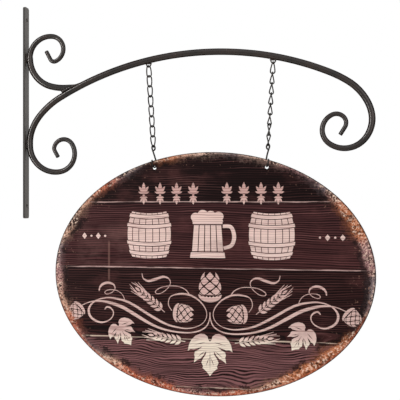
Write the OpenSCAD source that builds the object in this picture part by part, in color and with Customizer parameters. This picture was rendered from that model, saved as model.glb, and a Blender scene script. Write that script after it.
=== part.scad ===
// Metal pub sign: a forged scroll bracket that screws to a wall by a flat strip,
// with an oval sheet panel hung from it on two twisted-link chains and S-hooks.
// Origin: on the wall, midway between the two screw holes.
// +X reaches out from the wall along the arm, the printed face looks to -Y, +Z is up.

/* [Wall strip] */
// Height of the strip
strip_h = 270; // [255:1:300]
// Width of the strip across the wall
strip_w = 14; // [12:0.5:20]
// Thickness of the strip
strip_t = 2.5; // [2:0.1:4]
// Distance between the two screw holes
screw_spacing = 238; // [220:1:246]
// Diameter of a screw hole
screw_hole_d = 5.5; // [4:0.1:6.5]
// Corner radius of the strip's ends
strip_corner_r = 3; // [1:0.5:5]

/* [Scroll rods] */
// Diameter of the round bar along the arm
rod_d = 8; // [7.5:0.1:8.2]
// Diameter at the drawn-out tip of each scroll
tip_d = 5; // [4:0.1:5.5]
// Length over which a scroll is drawn down to its tip
taper_l = 150; // [110:5:180]
// Height at which the arm rod touches the strip
arm_touch_z = -39.5; // [-42:0.5:-38]
// Height at which the upper scroll touches the strip
upper_touch_z = 70; // [69:0.5:71]
// Number of sides of a swept bar
rod_sides = 14; // [12:2:18]

/* [Hanging] */
// Distance of the panel's middle from the wall
hang_x = 241; // [236:0.5:250]
// Distance between the two eyelets under the arm
eyelet_gap = 155.5; // [152:0.5:158]
// Height of the bearing point inside an eyelet
eyelet_z = 55; // [54:0.1:55.3]
// Wire diameter of an eyelet
eyelet_wire = 1.6; // [1.4:0.1:1.8]
// Radius of an eyelet's bend to the middle of the wire
eyelet_r = 2.2; // [2.1:0.1:2.6]

/* [Chain] */
// Wire diameter of a chain link
link_wire = 1.6; // [1.3:0.1:1.7]
// Pitch of the chain
link_pitch = 12.5; // [12.3:0.1:13]
// Radius of a link's ends to the middle of the wire
link_r = 2.8; // [2.7:0.1:3.2]
// Twist from one end of a link to the other, in degrees
link_twist = 90; // [80:5:95]
// Play left between two links
link_play = 0.16; // [0.12:0.02:0.24]

/* [Hook] */
// Wire diameter of an S-hook
hook_wire = 2; // [1.7:0.1:2.1]
// Radius of the closed upper eye to the middle of the wire
eye_r = 3; // [2.9:0.1:3.4]
// Radius of the open lower curl to the middle of the wire
curl_r = 4.8; // [4.6:0.1:5]
// Distance between the centres of eye and curl
hook_centres = 19.4; // [19:0.1:21]
// Straight end of the lower curl
hook_tip_l = 4.5; // [3:0.5:6]

/* [Panel] */
// Width of the oval panel
panel_w = 400; // [380:2:410]
// Height of the oval panel
panel_h = 300; // [285:1:310]
// Thickness of the sheet
sheet_t = 0.8; // [0.6:0.1:1]
// Width of the edge that is folded flat on the back
hem_w = 6; // [4:0.5:7]
// Distance between the two hook holes
hole_gap = 140; // [138:1:146]
// Distance of a hook hole's centre below the panel's edge
hole_margin = 9.5; // [9:0.5:11]
// Diameter of a hook hole
hook_hole_d = 4.4; // [4.2:0.1:5]

/* [Hidden] */

iron = "#231d1b";
wire_grey = "#4a4543";
lacquer = "#3b2226";

// Bends of each rod from its touch point on the strip to its end, as [radius, degrees].
arm_bends = [[45, 18], [60, 22], [100, 20], [390, 39], [360, 14], [140, 10], [66, 30],
  [48, 17], [37, 47], [31, 89], [20, 119], [12, 81], [10, 66]];
lower_bends = [[35, 100], [23, 113], [13, 134], [6, 42]];
upper_bends = [[27, 98], [16.5, 150], [5.5, 84]];
brace_bends = [[38, 74], [68, 17]];
arm_end_l = 10.7;
lower_end_l = 9.5;
upper_end_l = 12;
touch_l = 3;
curve_tol = 0.07;
weld_gap = 0.1;
upper_weld_l = 11;
lower_weld_l = 13;
strip_bead_d = 3.6;
strip_bead_out = 1.2;
strip_bead_side = 3.1;

// The brace is cut to lie on the arm, a little after the arm's third bend.
arm_steep_bends = 3;
scarf_turn = 2.5;
scarf_l = 28;
scarf_bead_d = 3.6;
scarf_bead_side = 3;
scarf_bead_drop = 0.6;
bead_steps = 10;
bead_sides = 8;
// Thickness of a bead at its ends and between two puddles, as a share of its diameter.
bead_end = 0.4;
bead_waist = 0.86;

left = -1;
right = 1;
link_count = 8;
links = [1 : link_count];
arc_steps = 6;
leg_steps = 4;
link_sides = 8;
hook_sides = 10;
eyelet_sides = 10;
eyelet_splay = 25;
eyelet_leg_z = 4;
// Turn of each link about the chain's line, measured at half its height.
left_turns = [25, 5, 0, 0, 0, 0, 0, -15];
right_turns = [45, 65, 65, 65, 65, 75, 105, 115];

// Direction in which each hook's open curl and closed eye face.
left_curl_turn = 250;
left_eye_turn = 245;
right_curl_turn = 290;
right_eye_turn = 315;
eye_gap_turn = 75;
eye_steps = 18;
stem_steps = 4;
curl_steps = 14;
// The panel hangs this much above where its hole would touch the curl.
hook_lift = 0.5;

hem_t = 0.8;
oval_steps = 100;
hole_cut_l = 10;

link_l = link_pitch + link_wire + link_play;
bend_depth = link_count * link_pitch - (hook_wire + link_play) / 2 + eye_r + hook_centres + curl_r;
lean = asin((eyelet_gap - hole_gap) / 2 / bend_depth);
bend_z = eyelet_z - bend_depth * cos(lean);
hole_z = bend_z + hook_wire / 2 + hook_lift - hook_hole_d / 2;
hole_up = panel_h / 2 * sqrt(1 - pow(hole_gap / panel_w, 2)) - hole_margin;
panel_z = hole_z - hole_up;

function unit(v) = v / norm(v);

// A station on a rod is [x, z, heading in degrees, length so far].
function bend_to(p, r, a) =
  let(s = sign(a))
  [p[0] + s * r * (sin(p[2] + a) - sin(p[2])),
   p[1] - s * r * (cos(p[2] + a) - cos(p[2])),
   p[2] + a,
   p[3] + r * abs(a) * PI / 180];

function run_to(p, l) = [p[0] + l * cos(p[2]), p[1] + l * sin(p[2]), p[2], p[3] + l];

function bend_steps(r, a) = ceil(r * abs(a) * PI / 180 / sqrt(8 * r * curve_tol));

function after_bends(p, bends, side, count, i = 0) =
  i == count ? p : after_bends(bend_to(p, bends[i][0], side * bends[i][1]), bends, side, count, i + 1);

function stations(p, bends, side, i = 0) =
  i == len(bends) ? [p] :
  let(r = bends[i][0], a = side * bends[i][1], n = bend_steps(r, a))
  concat([for (k = [0 : n - 1]) bend_to(p, r, a * k / n)],
         stations(bend_to(p, r, a), bends, side, i + 1));

function with_end(line, l) = concat(line, [run_to(line[len(line) - 1], l)]);

// The same stations seen from the other end, with lengths below zero.
function turned(line) =
  [for (i = [len(line) - 1 : -1 : 0])
    let(p = line[i]) [p[0], p[1], p[2] + 180, -p[3]]];

function rod_ring(p, d) =
  [for (j = [0 : rod_sides - 1])
    let(a = 360 * j / rod_sides)
    [p[0] - d / 2 * cos(a) * sin(p[2]), d / 2 * sin(a), p[1] + d / 2 * cos(a) * cos(p[2])]];

function drawn_d(left_l) = min(rod_d, tip_d + (rod_d - tip_d) * left_l / taper_l);

function drawn_rings(line, length) =
  [for (p = line) rod_ring(p, drawn_d(length - abs(p[3])))];

function wire_ring(p, along, ref, d, sides) =
  let(u = unit(ref - (ref * along) * along), w = cross(u, along))
  [for (j = [0 : sides - 1])
    let(a = 360 * j / sides)
    p + d / 2 * (cos(a) * u + sin(a) * w)];

module skin(rings, closed = false) {
  n = len(rings[0]);
  m = len(rings);
  points = [for (r = rings) each r];
  sides = [for (i = [0 : m - (closed ? 1 : 2)])
    for (j = [0 : n - 1])
      let(a = i * n + j,
          b = i * n + (j + 1) % n,
          c = (i + 1) % m * n + (j + 1) % n,
          d = (i + 1) % m * n + j)
      each [[a, b, c], [a, c, d]]];
  start_cap = [for (j = [n - 1 : -1 : 0]) j];
  end_cap = [for (j = [0 : n - 1]) (m - 1) * n + j];
  polyhedron(points, closed ? sides : concat(sides, [start_cap, end_cap]), convexity = 12);
}

arm_start = [strip_t + weld_gap + rod_d / 2, arm_touch_z + touch_l / 2, 90, 0];
lower_start = [strip_t + weld_gap + rod_d / 2, arm_touch_z - touch_l / 2, -90, 0];
arm_line = with_end(stations(arm_start, arm_bends, -1), arm_end_l);
lower_line = with_end(stations(lower_start, lower_bends, 1), lower_end_l);
scarf_base = bend_to(after_bends(arm_start, arm_bends, -1, arm_steep_bends),
                     arm_bends[arm_steep_bends][0], -scarf_turn);
scarf_normal = [-sin(scarf_base[2]), 0, cos(scarf_base[2])];
scarf_along = [cos(scarf_base[2]), 0, sin(scarf_base[2])];
scarf_point = [scarf_base[0], 0, scarf_base[1]] + (rod_d / 2 + weld_gap) * scarf_normal;

// Flat bar with rounded corners, drawn lying along X and then stood on the wall.
module wall_strip() {
  color(iron)
  rotate([0, -90, 0])
    translate([0, 0, -strip_t])
      linear_extrude(height = strip_t)
        difference() {
          union() {
            square([strip_h - 2 * strip_corner_r, strip_w], center = true);
            square([strip_h, strip_w - 2 * strip_corner_r], center = true);
            for (a = [-1, 1], b = [-1, 1])
              translate([a * (strip_h / 2 - strip_corner_r), b * (strip_w / 2 - strip_corner_r)])
                circle(r = strip_corner_r, $fn = 24);
          }
          for (a = [-1, 1])
            translate([a * screw_spacing / 2, 0])
              circle(d = screw_hole_d, $fn = 32);
        }
}

// One round bar, drawn down to both tips: lower scroll, arm and end scroll.
module arm_rod() {
  color(iron)
    skin(concat(drawn_rings(turned(lower_line), lower_line[len(lower_line) - 1][3]),
                drawn_rings(arm_line, arm_line[len(arm_line) - 1][3])));
}

// A shorter bar: scroll above, brace below, cut at a slant where it lies on the arm.
module upper_scroll() {
  start = [strip_t + weld_gap + rod_d / 2, upper_touch_z, 90, 0];
  scroll_line = with_end(stations(start, upper_bends, -1), upper_end_l);
  brace_line = stations([start[0], start[1], -90, 0], brace_bends, 1);
  last = brace_line[len(brace_line) - 1];
  along = [cos(last[2]), 0, sin(last[2])];
  scarf_ring = [for (v = rod_ring([last[0], last[1], last[2] + 180, 0], rod_d))
    v + along * ((scarf_point - v) * scarf_normal) / (along * scarf_normal)];
  color(iron)
    skin(concat([scarf_ring],
                [for (p = turned(brace_line)) rod_ring(p, rod_d)],
                drawn_rings([for (i = [1 : len(scroll_line) - 1]) scroll_line[i]],
                            scroll_line[len(scroll_line) - 1][3])));
}

// A weld bead along a straight seam, thicker where each puddle froze.
module bead(from, to, d) {
  along = unit(to - from);
  color(iron)
    skin([for (k = [0 : bead_steps])
      let(swell = k == 0 || k == bead_steps ? bead_end : (k % 2 == 1 ? 1 : bead_waist))
      wire_ring(from + (to - from) * k / bead_steps, along, [0, 1, 0], d * swell, bead_sides)]);
}

module strip_weld(z, l) {
  for (s = [-1, 1])
    translate([strip_t + strip_bead_out, s * strip_bead_side, z])
      bead([0, 0, -l / 2], [0, 0, l / 2], strip_bead_d);
}

module arm_weld() {
  for (s = [-1, 1])
    translate(scarf_point - scarf_bead_drop * scarf_normal + [0, s * scarf_bead_side, 0])
      bead(-scarf_along * scarf_l / 2, scarf_along * scarf_l / 2, scarf_bead_d);
}

// A wire bent to a V, with both ends welded into the arm above it.
module eyelet(side) {
  drop = (eyelet_wire + link_play) / 2;
  leg_l = (eyelet_leg_z + drop - eyelet_r * (1 - sin(eyelet_splay))) / cos(eyelet_splay);
  top_x = eyelet_r * cos(eyelet_splay) + leg_l * sin(eyelet_splay);
  top_z = leg_l * cos(eyelet_splay) - eyelet_r * sin(eyelet_splay);
  bend_sweep = 180 - 2 * eyelet_splay;
  bend = [for (k = [0 : eyelet_sides]) let(a = 180 + eyelet_splay + bend_sweep * k / eyelet_sides)
    [eyelet_r * cos(a), 0, eyelet_r * sin(a)]];
  line = concat([[-top_x, 0, top_z]], bend, [[top_x, 0, top_z]]);
  last = len(line) - 1;
  color(iron)
    translate([hang_x + side * eyelet_gap / 2, 0, eyelet_z - drop + eyelet_r])
      skin([for (i = [0 : last])
        wire_ring(line[i], unit(line[min(i + 1, last)] - line[max(i - 1, 0)]),
                  [0, 1, 0], eyelet_wire, eyelet_sides)]);
}

// Origin at the eyelet's bearing point, with the chain hanging down its own -Z.
module on_chain(side) {
  translate([hang_x + side * eyelet_gap / 2, 0, eyelet_z])
    rotate([0, side * lean, 0])
      children();
}

// A point of an oval loop of wire, twisted about its long axis.
function twisted(q, h, turn) =
  let(a = turn + link_twist * h / link_l)
  [q * cos(a), q * sin(a), h];

function across(h, turn) =
  let(a = turn + link_twist * h / link_l)
  [-sin(a), cos(a), 0];

module chain_link(side, number) {
  turn = side == left ? left_turns[number - 1] : right_turns[number - 1];
  straight = link_l - 2 * link_r;
  oval = concat(
    [for (k = [0 : arc_steps]) let(a = 180 * k / arc_steps)
      [link_r * cos(a), straight / 2 + link_r * sin(a)]],
    [for (k = [1 : leg_steps - 1]) [-link_r, straight * (0.5 - k / leg_steps)]],
    [for (k = [0 : arc_steps]) let(a = 180 + 180 * k / arc_steps)
      [link_r * cos(a), -straight / 2 + link_r * sin(a)]],
    [for (k = [1 : leg_steps - 1]) [link_r, straight * (k / leg_steps - 0.5)]]);
  line = [for (p = oval) twisted(p[0], p[1], turn)];
  n = len(line);
  color(wire_grey)
    on_chain(side)
      translate([0, 0, -(number - 0.5) * link_pitch])
        skin([for (i = [0 : n - 1])
          wire_ring(line[i], unit(line[(i + 1) % n] - line[(i + n - 1) % n]),
                    across(oval[i][1], turn), link_wire, link_sides)],
          closed = true);
}

// Closed eye around the last link, slanting stem, and a curl through the panel's hole.
module s_hook(side) {
  curl_turn = side == left ? left_curl_turn : right_curl_turn;
  eye_turn = side == left ? left_eye_turn : right_eye_turn;
  slant = asin((eye_r + curl_r) / hook_centres);
  eye_sweep = 360 - eye_gap_turn;
  curl_sweep = 180 + slant;
  eye = [for (k = [0 : eye_steps]) let(a = -slant + eye_sweep * (1 - k / eye_steps))
    [eye_r * cos(a), hook_centres + eye_r * sin(a)]];
  curl = [for (k = [0 : curl_steps]) let(a = 180 - slant + curl_sweep * k / curl_steps)
    [curl_r * cos(a), curl_r * sin(a)]];
  stem = [for (k = [1 : stem_steps - 1])
    eye[eye_steps] + (curl[0] - eye[eye_steps]) * k / stem_steps];
  flat = concat(eye, stem, curl, [[curl_r, hook_tip_l]]);
  turn = [for (p = flat)
    curl_turn + (eye_turn - curl_turn) * min(1, max(0, p[1] / hook_centres))];
  n = len(flat);
  line = [for (i = [0 : n - 1]) [flat[i][0] * cos(turn[i]), flat[i][0] * sin(turn[i]), flat[i][1]]];
  color(wire_grey)
    on_chain(side)
      translate([0, 0, curl_r - bend_depth])
        skin([for (i = [0 : n - 1])
          wire_ring(line[i], unit(line[min(i + 1, n - 1)] - line[max(i - 1, 0)]),
                    [-sin(turn[i]), cos(turn[i]), 0], hook_wire, hook_sides)]);
}

function oval(w, h) =
  [for (k = [0 : oval_steps - 1]) let(a = 360 * k / oval_steps)
    [w / 2 * cos(a), h / 2 * sin(a)]];

// A plate that stands upright, from y_front back to y_front + t.
module upright(y_front, t) {
  translate([hang_x, y_front + t, panel_z])
    rotate([90, 0, 0])
      linear_extrude(height = t)
        children();
}

// Oval sheet with its edge folded flat on the back.
module sign_panel() {
  color(lacquer)
  difference() {
    union() {
      upright(-sheet_t / 2, sheet_t)
        polygon(oval(panel_w, panel_h));
      upright(0, sheet_t / 2 + hem_t)
        difference() {
          polygon(oval(panel_w, panel_h));
          polygon(oval(panel_w - 2 * hem_w, panel_h - 2 * hem_w));
        }
    }
    for (s = [-1, 1])
      translate([hang_x + s * hole_gap / 2, hole_cut_l / 2, hole_z])
        rotate([90, 0, 0])
          cylinder(h = hole_cut_l, d = hook_hole_d, $fn = 28);
  }
}

wall_strip();
arm_rod();
upper_scroll();
strip_weld(upper_touch_z, upper_weld_l);  // strip_upper_weld
strip_weld(arm_touch_z, lower_weld_l);  // strip_lower_weld
arm_weld();
eyelet(left);  // left_eyelet
eyelet(right);  // right_eyelet
for (k = links) chain_link(left, k);
for (k = links) chain_link(right, k);
s_hook(left);  // left_hook
s_hook(right);  // right_hook
sign_panel();
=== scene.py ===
import math
import bpy
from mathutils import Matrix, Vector, noise
from mathutils.geometry import tessellate_polygon


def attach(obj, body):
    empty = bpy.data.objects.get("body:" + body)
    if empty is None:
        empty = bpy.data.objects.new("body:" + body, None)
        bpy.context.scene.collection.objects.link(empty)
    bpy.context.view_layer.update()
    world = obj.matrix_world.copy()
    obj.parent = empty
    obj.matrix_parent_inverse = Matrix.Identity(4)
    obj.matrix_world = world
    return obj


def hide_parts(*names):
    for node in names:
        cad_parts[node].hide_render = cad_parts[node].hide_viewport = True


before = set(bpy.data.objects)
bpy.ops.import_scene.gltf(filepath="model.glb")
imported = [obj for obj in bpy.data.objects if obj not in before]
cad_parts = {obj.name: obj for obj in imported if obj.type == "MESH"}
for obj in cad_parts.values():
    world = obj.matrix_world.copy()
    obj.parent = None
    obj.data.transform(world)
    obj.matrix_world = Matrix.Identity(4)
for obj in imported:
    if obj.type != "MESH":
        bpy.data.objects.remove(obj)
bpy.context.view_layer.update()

mm = 0.001
print("frame loaded")


def hexColour(code):
    parts = [int(code[i:i + 2], 16) / 255 for i in (1, 3, 5)]
    return tuple(c / 12.92 if c <= 0.04045 else ((c + 0.055) / 1.055) ** 2.4 for c in parts) + (1.0,)


# adds one node with its settings; its inputs are numbers, hex colours, sockets, or nodes, which give their first output
def addNode(tree, kind, inputs=None, **settings):
    node = tree.nodes.new(kind)
    for name, value in settings.items():
        if name == "stops":
            ramp = node.color_ramp
            while len(ramp.elements) < len(value):
                ramp.elements.new(0.5)
            for element, (place, colour) in zip(ramp.elements, value):
                element.position = place
                element.color = hexColour(colour) if isinstance(colour, str) else (colour,) * 3 + (1,)
        else:
            setattr(node, name, value)
    for name, value in (inputs or {}).items():
        if isinstance(value, bpy.types.Node):
            value = value.outputs[0]
        if isinstance(value, bpy.types.NodeSocket):
            tree.links.new(value, node.inputs[name])
        else:
            node.inputs[name].default_value = hexColour(value) if isinstance(value, str) else value
    return node


def newMaterial(name):
    material = bpy.data.materials.new(name)
    material.use_nodes = True
    material.node_tree.nodes.clear()
    return material, material.node_tree


def newPiece(name, points, faces, material, body, smooth=True, replaces=()):
    mesh = bpy.data.meshes.new(name)
    mesh.from_pydata([Vector(p) * mm for p in points], [], faces)
    mesh.validate()
    mesh.polygons.foreach_set("use_smooth", [smooth] * len(mesh.polygons))
    mesh.materials.append(material)
    piece = bpy.data.objects.new(name, mesh)
    bpy.context.scene.collection.objects.link(piece)
    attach(piece, body)
    if replaces:
        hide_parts(*replaces)
    return piece


studio = {
    "cameraPlace": (0.4305, -1.0395, -0.1115),
    "cameraTurn": 11,
    "cameraTip": 0.0,
    "lens": 77.4,
    "floorHeight": -0.62,
    "worldLight": 0.38,
    # the floor is mostly its own glow for the camera, and plain paint for everything else
    "floorGlow": 1.1,
    "glowShare": 0.86,
    "stippleSize": 25,
}

camera = bpy.data.objects.new("camera", bpy.data.cameras.new("camera"))
bpy.context.scene.collection.objects.link(camera)
camera.location = studio["cameraPlace"]
camera.rotation_euler = (math.radians(90 + studio["cameraTip"]), 0, math.radians(studio["cameraTurn"]))
camera.data.lens = studio["lens"]
camera.data.sensor_width = 36
camera.data.clip_end = 50
bpy.context.scene.camera = camera
bpy.context.scene.view_settings.view_transform = "Standard"


def addSoftbox(name, place, aim, size, power, colour="#ffffff"):
    lamp = bpy.data.lights.new(name, "AREA")
    lamp.shape = "RECTANGLE"
    lamp.size, lamp.size_y = size
    lamp.energy = power
    lamp.color = hexColour(colour)[:3]
    holder = bpy.data.objects.new(name, lamp)
    bpy.context.scene.collection.objects.link(holder)
    holder.location = place
    holder.rotation_euler = (Vector(aim) - Vector(place)).to_track_quat("-Z", "Y").to_euler()


middle = (0.23, 0, -0.12)
# a tall narrow softbox far left draws the bright line down the bars, and a broader, weaker one fills from the right
addSoftbox("leftStripSoftbox", (-1.14, -1.32, 0.1), middle, (0.2, 2.4), 36, "#fffaf5")
addSoftbox("rightSoftbox", (1.5, -1.53, 0.1), middle, (0.5, 2.2), 9, "#fff3ee")
addSoftbox("topSoftbox", (0.3, -0.2, 1.5), middle, (1.4, 0.5), 4)

world = bpy.data.worlds.new("studioWorld")
bpy.context.scene.world = world
world.use_nodes = True
tree = world.node_tree
tree.nodes.clear()
path = addNode(tree, "ShaderNodeLightPath")
seen = addNode(tree, "ShaderNodeMath", {0: path.outputs["Is Camera Ray"], 1: path.outputs["Is Transmission Ray"]},
    operation="MAXIMUM")
seen = addNode(tree, "ShaderNodeMath", {0: seen, 1: path.outputs["Is Glossy Ray"]}, operation="MAXIMUM")
strength = addNode(tree, "ShaderNodeMapRange", {0: seen, 3: studio["worldLight"], 4: 1.0})
sky = addNode(tree, "ShaderNodeBackground", {"Color": "#ffffff", "Strength": strength})
addNode(tree, "ShaderNodeOutputWorld", {"Surface": sky})


# matt white painted studio floor, which the camera sees as the background's white
def makeFloor():
    material, tree = newMaterial("mattWhiteFloorPaint")
    path = addNode(tree, "ShaderNodeLightPath")
    coords = addNode(tree, "ShaderNodeTexCoord")
    stipple = addNode(tree, "ShaderNodeTexNoise", {"Vector": coords.outputs["Object"], "Detail": 3.0,
        "Scale": 1 / (studio["stippleSize"] * mm)})
    tone = addNode(tree, "ShaderNodeValToRGB", {0: stipple}, stops=[(0.3, "#f4f3f1"), (0.7, "#fafaf8")])
    paint = addNode(tree, "ShaderNodeBsdfPrincipled", {"Base Color": tone, "Roughness": 0.9})
    glow = addNode(tree, "ShaderNodeEmission", {"Color": "#ffffff", "Strength": studio["floorGlow"]})
    share = addNode(tree, "ShaderNodeMath", {0: path.outputs["Is Camera Ray"], 1: studio["glowShare"]},
        operation="MULTIPLY")
    both = addNode(tree, "ShaderNodeMixShader", {0: share, 1: paint, 2: glow})
    addNode(tree, "ShaderNodeOutputMaterial", {"Surface": both})
    z = studio["floorHeight"]
    mesh = bpy.data.meshes.new("studioFloor")
    mesh.from_pydata([(-20, -20, z), (20, -20, z), (20, 20, z), (-20, 20, z)], [], [(0, 1, 2, 3)])
    mesh.materials.append(material)
    floor = bpy.data.objects.new("studioFloor", mesh)
    bpy.context.scene.collection.objects.link(floor)


makeFloor()
print("camera and studio set")


# sizes in mm; the orange peel is coarser than the real one so that it shows
lacquer = {
    "patchSize": 22.22,
    "peelSize": 1.111,
    "dentDepth": 0.2,
    "peelDepth": 0.05,
}


# satin lacquer sprayed on hot-rolled bar: near-black brown with a long crisp highlight that stops short of
# the bar's edges, slight hammer marks under it and a duller, browner skin where it lies thin
def lacqueredBar(name, dark, light, rough, metallic=0.0, gloss=0.3, dent=0.25, grain=0.12, roundBar=True,
        paintedSideShade=None):
    material, tree = newMaterial(name)
    coords = addNode(tree, "ShaderNodeTexCoord")
    cloud = addNode(tree, "ShaderNodeTexNoise", {"Vector": coords.outputs["Object"], "Detail": 4.0,
        "Roughness": 0.6, "Scale": 1 / (lacquer["patchSize"] * mm)})
    peel = addNode(tree, "ShaderNodeTexNoise", {"Vector": coords.outputs["Object"], "Detail": 3.0,
        "Scale": 1 / (lacquer["peelSize"] * mm)})
    tone = addNode(tree, "ShaderNodeValToRGB", {0: cloud}, stops=[(0.35, dark), (0.7, light)])
    if paintedSideShade:  # painted shade: the bar's sides, whose normals point along Y, are given a darker tone than its face
        side = addNode(tree, "ShaderNodeSeparateXYZ", {0: coords.outputs["Normal"]})
        side = addNode(tree, "ShaderNodeMath", {0: side.outputs[1]}, operation="ABSOLUTE")
        side = addNode(tree, "ShaderNodeMapRange", {0: side, 1: 0.6, 2: 0.9})
        tone = addNode(tree, "ShaderNodeMix", {0: side, 6: tone, 7: paintedSideShade}, data_type="RGBA").outputs[2]
    shine = addNode(tree, "ShaderNodeMapRange", {0: cloud, 1: 0.3, 2: 0.7, 3: rough - 0.05, 4: rough + 0.07})
    dents = addNode(tree, "ShaderNodeBump", {"Height": cloud, "Strength": dent,
        "Distance": lacquer["dentDepth"] * mm})
    skin = addNode(tree, "ShaderNodeBump", {"Height": peel, "Normal": dents, "Strength": grain,
        "Distance": lacquer["peelDepth"] * mm})
    surface = addNode(tree, "ShaderNodeBsdfPrincipled", {"Base Color": tone, "Metallic": metallic, "Roughness": shine,
        "Specular IOR Level": gloss, "Normal": skin})
    if roundBar:  # a round bar loses its gloss where it curves away
        away = addNode(tree, "ShaderNodeLayerWeight", {"Blend": 0.5})
        fading = addNode(tree, "ShaderNodeMapRange", {0: away.outputs["Facing"], 1: 0.17, 2: 0.4, 3: gloss, 4: 0.0})
        tree.links.new(fading.outputs[0], surface.inputs["Specular IOR Level"])
    addNode(tree, "ShaderNodeOutputMaterial", {"Surface": surface})
    return material


barLacquer = lacqueredBar("satinLacquerOnRoundBar", "#120d0b", "#291d18", 0.2, gloss=0.48, dent=0.008, grain=0.01)
# painted light: the flat bar gets much paler tones of the same satin lacquer as the round bars, standing in for light
# on its flat face; its sides get painted shade
paintedLitStripLacquer = lacqueredBar("satinLacquerOnFlatBarPaintedLit", "#4c4743", "#625d58", 0.42, roundBar=False, paintedSideShade="#1e1b19")
weldLacquer = lacqueredBar("lacquerOverWeldBead", "#191311", "#362b25", 0.22, gloss=0.4, dent=0.3)
wireSteel = lacqueredBar("darkenedSteelWire", "#201e1d", "#3a3633", 0.24, 0.8)


# a station of a bar is (x, z, heading, length so far); this one lies after a bend
def bendTo(p, r, a):
    s = 1 if a > 0 else -1
    h, k = math.radians(p[2]), math.radians(p[2] + a)
    return (p[0] + s * r * (math.sin(k) - math.sin(h)), p[1] - s * r * (math.cos(k) - math.cos(h)), p[2] + a,
        p[3] + r * abs(a) * math.pi / 180)


def runTo(p, l):
    return (p[0] + l * math.cos(math.radians(p[2])), p[1] + l * math.sin(math.radians(p[2])), p[2], p[3] + l)


# stations along tangent bends and a straight end
def follow(start, bends, side, end, step=1.6):
    line, p = [start], start
    for r, a in bends:
        count = max(2, math.ceil(r * a * math.pi / 180 / step))
        line += [bendTo(p, r, side * a * k / count) for k in range(1, count + 1)]
        p = line[-1]
    if end:
        line += [runTo(p, end * k / 4) for k in range(1, 5)]
    return line


def turned(line):
    return [(p[0], p[1], p[2] + 180, -p[3]) for p in reversed(line)]


def alongBar(p):
    return Vector((math.cos(math.radians(p[2])), 0, math.sin(math.radians(p[2]))))


# a ring of points round a station of a bar that lies in the XZ plane, with hammer marks so deep
def barRing(p, d, sides, mark=0.0):
    h, spacing = math.radians(p[2]), bars["markSpacing"]
    ring = []
    for j in range(sides):
        a = 2 * math.pi * j / sides
        q = Vector((-math.cos(a) * math.sin(h), math.sin(a), math.cos(a) * math.cos(h)))
        hollow = max(0, noise.noise(Vector((p[0] / spacing, q.y * 1.7, p[1] / spacing))))
        ring.append(Vector((p[0], 0, p[1])) + q * (d / 2 - mark * hollow))
    return ring


def wireRing(p, along, ref, d, sides):
    u = (ref - along * ref.dot(along)).normalized()
    w = u.cross(along)
    turns = [2 * math.pi * j / sides for j in range(sides)]
    return [p + (u * math.cos(a) + w * math.sin(a)) * (d / 2) for a in turns]


def directionAt(line, i):
    return (line[min(i + 1, len(line) - 1)] - line[max(i - 1, 0)]).normalized()


def skinRings(rings, closed=False):
    n, m = len(rings[0]), len(rings)
    points = [q for ring in rings for q in ring]
    faces = []
    for i in range(m if closed else m - 1):
        a, b = i * n, (i + 1) % m * n
        faces += [(a + j, b + j, b + (j + 1) % n, a + (j + 1) % n) for j in range(n)]
    if not closed:
        faces += [tuple(range(n)), tuple(range(m * n - 1, (m - 1) * n - 1, -1))]
    return points, faces


def joinShell(points, faces, more, fill):
    faces += [tuple(i + len(points) for i in face) for face in fill]
    points += more


bars = {
    "diameter": 8.0,
    "tipDiameter": 5.0,
    "taperLength": 150.0,
    "touchX": 6.6,
    "armTouchZ": -39.5,
    "touchLength": 3.0,
    "upperTouchZ": 70.0,
    # (radius, degrees) of each bend, and the straight end after them
    "armBends": [(45, 18), (60, 22), (100, 20), (390, 39), (360, 14), (140, 10), (66, 30), (48, 17), (37, 47),
        (31, 89), (20, 119), (12, 81), (10, 66)],
    "lowerBends": [(35, 100), (23, 113), (13, 134), (6, 42)],
    "upperBends": [(27, 98), (16.5, 150), (5.5, 84)],
    "braceBends": [(38, 74), (68, 17)],
    "ends": {"arm": 10.7, "lower": 9.5, "upper": 12},
    # the brace meets the arm this far into the arm's fourth bend, in degrees
    "scarfTurn": 2.5,
    "scarfGap": 0.1,
    "hammerMark": 0.012,
    "markSpacing": 6.25,
    "filedLength": 0.35,
    "filedLoss": 0.9,
    "sides": 28,
}


def drawnDiameter(left):
    growth = (bars["diameter"] - bars["tipDiameter"]) * left / bars["taperLength"]
    return min(bars["diameter"], bars["tipDiameter"] + growth)


# rings along a drawn-out bar; its cut end has a small filed edge
def drawnRings(line, filed):
    length = max(abs(p[3]) for p in line)
    rings = [barRing(p, drawnDiameter(length - abs(p[3])), bars["sides"], bars["hammerMark"]) for p in line]
    edge, inward = (0, 1) if filed == "first" else (-1, -1)
    cap = barRing(line[edge], drawnDiameter(0) - bars["filedLoss"], bars["sides"])
    rings[edge] = barRing(runTo(line[edge], inward * bars["filedLength"]), drawnDiameter(0), bars["sides"])
    return [cap] + rings if filed == "first" else rings + [cap]


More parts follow.
